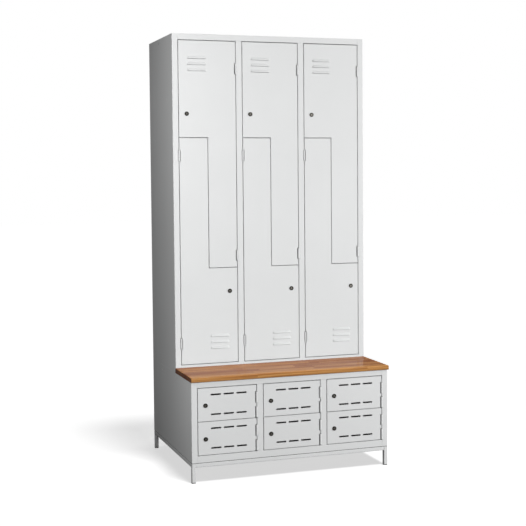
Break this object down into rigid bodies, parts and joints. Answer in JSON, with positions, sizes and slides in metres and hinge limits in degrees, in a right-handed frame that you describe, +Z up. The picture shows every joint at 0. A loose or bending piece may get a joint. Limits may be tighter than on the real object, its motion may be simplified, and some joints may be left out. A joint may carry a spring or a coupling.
{
  "type": "locker with bench",
  "caption": "Free-standing steel cloakroom locker with interlocking L-shaped doors above a wooden bench board on a base with small slotted doors and short legs.",
  "frame": {"origin": "on the floor, at the middle of the rectangle that the whole object covers, bench board included", "axes": "+X to the viewer's right when facing the doors, +Y to the back, +Z up"},
  "size_m": [1.054, 0.815, 2.23],
  "materials": {
    "powder_coat": "light grey satin powder coat",
    "varnished_wood": "clear gloss varnish on glued beech staves",
    "lock_chrome": "dark nickel plate",
    "lock_steel": "dark satin plug and zinc-plated cam",
    "plated_steel": "zinc plate",
    "rail_steel": "bright plated tube",
    "foot_plastic": "moulded polyethylene"
  },
  "bodies": {
    "root": {"upper_side_left": "powder_coat", "upper_side_right": "powder_coat", "upper_back": "powder_coat", "upper_top": "powder_coat", "upper_bottom": "powder_coat", "upper_front_frame": "powder_coat", "upper_dividers": "powder_coat", "z_partitions": "powder_coat", "compartment_shelves": "powder_coat", "clothes_rails": "rail_steel", "base_side_left": "powder_coat", "base_side_right": "powder_coat", "base_back": "powder_coat", "base_top": "powder_coat", "base_bottom": "powder_coat", "base_front_frame": "powder_coat", "base_dividers": "powder_coat", "base_shelves": "powder_coat", "bench_board": "varnished_wood", "underframe": "powder_coat", "foot_plugs": "foot_plastic", "hinge_frame_halves": "powder_coat", "hinge_pins": "plated_steel", "cabinet_fixings": "plated_steel"},
    "upper_door_1": {"upper_door_1": "powder_coat", "upper_lock_1": "lock_chrome"},
    "upper_lock_1_plug": {"upper_lock_1_plug": "lock_steel"},
    "upper_door_2": {"upper_door_2": "powder_coat", "upper_lock_2": "lock_chrome"},
    "upper_lock_2_plug": {"upper_lock_2_plug": "lock_steel"},
    "upper_door_3": {"upper_door_3": "powder_coat", "upper_lock_3": "lock_chrome"},
    "upper_lock_3_plug": {"upper_lock_3_plug": "lock_steel"},
    "lower_door_1": {"lower_door_1": "powder_coat", "lower_lock_1": "lock_chrome"},
    "lower_lock_1_plug": {"lower_lock_1_plug": "lock_steel"},
    "lower_door_2": {"lower_door_2": "powder_coat", "lower_lock_2": "lock_chrome"},
    "lower_lock_2_plug": {"lower_lock_2_plug": "lock_steel"},
    "lower_door_3": {"lower_door_3": "powder_coat", "lower_lock_3": "lock_chrome"},
    "lower_lock_3_plug": {"lower_lock_3_plug": "lock_steel"},
    "base_door_1": {"base_door_1": "powder_coat", "base_lock_1": "lock_chrome"},
    "base_lock_1_plug": {"base_lock_1_plug": "lock_steel"},
    "base_door_2": {"base_door_2": "powder_coat", "base_lock_2": "lock_chrome"},
    "base_lock_2_plug": {"base_lock_2_plug": "lock_steel"},
    "base_door_3": {"base_door_3": "powder_coat", "base_lock_3": "lock_chrome"},
    "base_lock_3_plug": {"base_lock_3_plug": "lock_steel"},
    "base_door_4": {"base_door_4": "powder_coat", "base_lock_4": "lock_chrome"},
    "base_lock_4_plug": {"base_lock_4_plug": "lock_steel"},
    "base_door_5": {"base_door_5": "powder_coat", "base_lock_5": "lock_chrome"},
    "base_lock_5_plug": {"base_lock_5_plug": "lock_steel"},
    "base_door_6": {"base_door_6": "powder_coat", "base_lock_6": "lock_chrome"},
    "base_lock_6_plug": {"base_lock_6_plug": "lock_steel"}
  },
  "joints": [
    {"name": "upper_door_1_hinge", "type": "hinge", "parent": "root", "child": "upper_door_1", "pos_m": [-0.18773, -0.0925, 1.5762], "axis": [0, 0, 1], "range_deg": [0, 95]},
    {"name": "upper_lock_1_turn", "type": "hinge", "parent": "upper_door_1", "child": "upper_lock_1_plug", "pos_m": [-0.4505, -0.0925, 1.8251], "axis": [0, 1, 0], "range_deg": [0, 90]},
    {"name": "upper_door_2_hinge", "type": "hinge", "parent": "root", "child": "upper_door_2", "pos_m": [0.15263, -0.0925, 1.5762], "axis": [0, 0, 1], "range_deg": [0, 95]},
    {"name": "upper_lock_2_turn", "type": "hinge", "parent": "upper_door_2", "child": "upper_lock_2_plug", "pos_m": [-0.11013, -0.0925, 1.8251], "axis": [0, 1, 0], "range_deg": [0, 90]},
    {"name": "upper_door_3_hinge", "type": "hinge", "parent": "root", "child": "upper_door_3", "pos_m": [0.493, -0.0925, 1.5762], "axis": [0, 0, 1], "range_deg": [0, 95]},
    {"name": "upper_lock_3_turn", "type": "hinge", "parent": "upper_door_3", "child": "upper_lock_3_plug", "pos_m": [0.23023, -0.0925, 1.8251], "axis": [0, 1, 0], "range_deg": [0, 90]},
    {"name": "lower_door_1_hinge", "type": "hinge", "parent": "root", "child": "lower_door_1", "pos_m": [-0.493, -0.0925, 1.1297], "axis": [0, 0, -1], "range_deg": [0, 95]},
    {"name": "lower_lock_1_turn", "type": "hinge", "parent": "lower_door_1", "child": "lower_lock_1_plug", "pos_m": [-0.23023, -0.0925, 0.9108], "axis": [0, -1, 0], "range_deg": [0, 90]},
    {"name": "lower_door_2_hinge", "type": "hinge", "parent": "root", "child": "lower_door_2", "pos_m": [-0.15263, -0.0925, 1.1297], "axis": [0, 0, -1], "range_deg": [0, 95]},
    {"name": "lower_lock_2_turn", "type": "hinge", "parent": "lower_door_2", "child": "lower_lock_2_plug", "pos_m": [0.11013, -0.0925, 0.9108], "axis": [0, -1, 0], "range_deg": [0, 90]},
    {"name": "lower_door_3_hinge", "type": "hinge", "parent": "root", "child": "lower_door_3", "pos_m": [0.18773, -0.0925, 1.1297], "axis": [0, 0, -1], "range_deg": [0, 95]},
    {"name": "lower_lock_3_turn", "type": "hinge", "parent": "lower_door_3", "child": "lower_lock_3_plug", "pos_m": [0.4505, -0.0925, 0.9108], "axis": [0, -1, 0], "range_deg": [0, 90]},
    {"name": "base_door_1_hinge", "type": "hinge", "parent": "root", "child": "base_door_1", "pos_m": [-0.18773, -0.3925, 0.36975], "axis": [0, 0, 1], "range_deg": [0, 110]},
    {"name": "base_lock_1_turn", "type": "hinge", "parent": "base_door_1", "child": "base_lock_1_plug", "pos_m": [-0.453, -0.3925, 0.382], "axis": [0, 1, 0], "range_deg": [0, 90]},
    {"name": "base_door_2_hinge", "type": "hinge", "parent": "root", "child": "base_door_2", "pos_m": [0.15263, -0.3925, 0.36975], "axis": [0, 0, 1], "range_deg": [0, 110]},
    {"name": "base_lock_2_turn", "type": "hinge", "parent": "base_door_2", "child": "base_lock_2_plug", "pos_m": [-0.11263, -0.3925, 0.382], "axis": [0, 1, 0], "range_deg": [0, 90]},
    {"name": "base_door_3_hinge", "type": "hinge", "parent": "root", "child": "base_door_3", "pos_m": [0.493, -0.3925, 0.36975], "axis": [0, 0, 1], "range_deg": [0, 110]},
    {"name": "base_lock_3_turn", "type": "hinge", "parent": "base_door_3", "child": "base_lock_3_plug", "pos_m": [0.22773, -0.3925, 0.382], "axis": [0, 1, 0], "range_deg": [0, 90]},
    {"name": "base_door_4_hinge", "type": "hinge", "parent": "root", "child": "base_door_4", "pos_m": [-0.18773, -0.3925, 0.20275], "axis": [0, 0, 1], "range_deg": [0, 110]},
    {"name": "base_lock_4_turn", "type": "hinge", "parent": "base_door_4", "child": "base_lock_4_plug", "pos_m": [-0.453, -0.3925, 0.215], "axis": [0, 1, 0], "range_deg": [0, 90]},
    {"name": "base_door_5_hinge", "type": "hinge", "parent": "root", "child": "base_door_5", "pos_m": [0.15263, -0.3925, 0.20275], "axis": [0, 0, 1], "range_deg": [0, 110]},
    {"name": "base_lock_5_turn", "type": "hinge", "parent": "base_door_5", "child": "base_lock_5_plug", "pos_m": [-0.11263, -0.3925, 0.215], "axis": [0, 1, 0], "range_deg": [0, 90]},
    {"name": "base_door_6_hinge", "type": "hinge", "parent": "root", "child": "base_door_6", "pos_m": [0.493, -0.3925, 0.20275], "axis": [0, 0, 1], "range_deg": [0, 110]},
    {"name": "base_lock_6_turn", "type": "hinge", "parent": "base_door_6", "child": "base_lock_6_plug", "pos_m": [0.22773, -0.3925, 0.215], "axis": [0, 1, 0], "range_deg": [0, 90]}
  ]
}
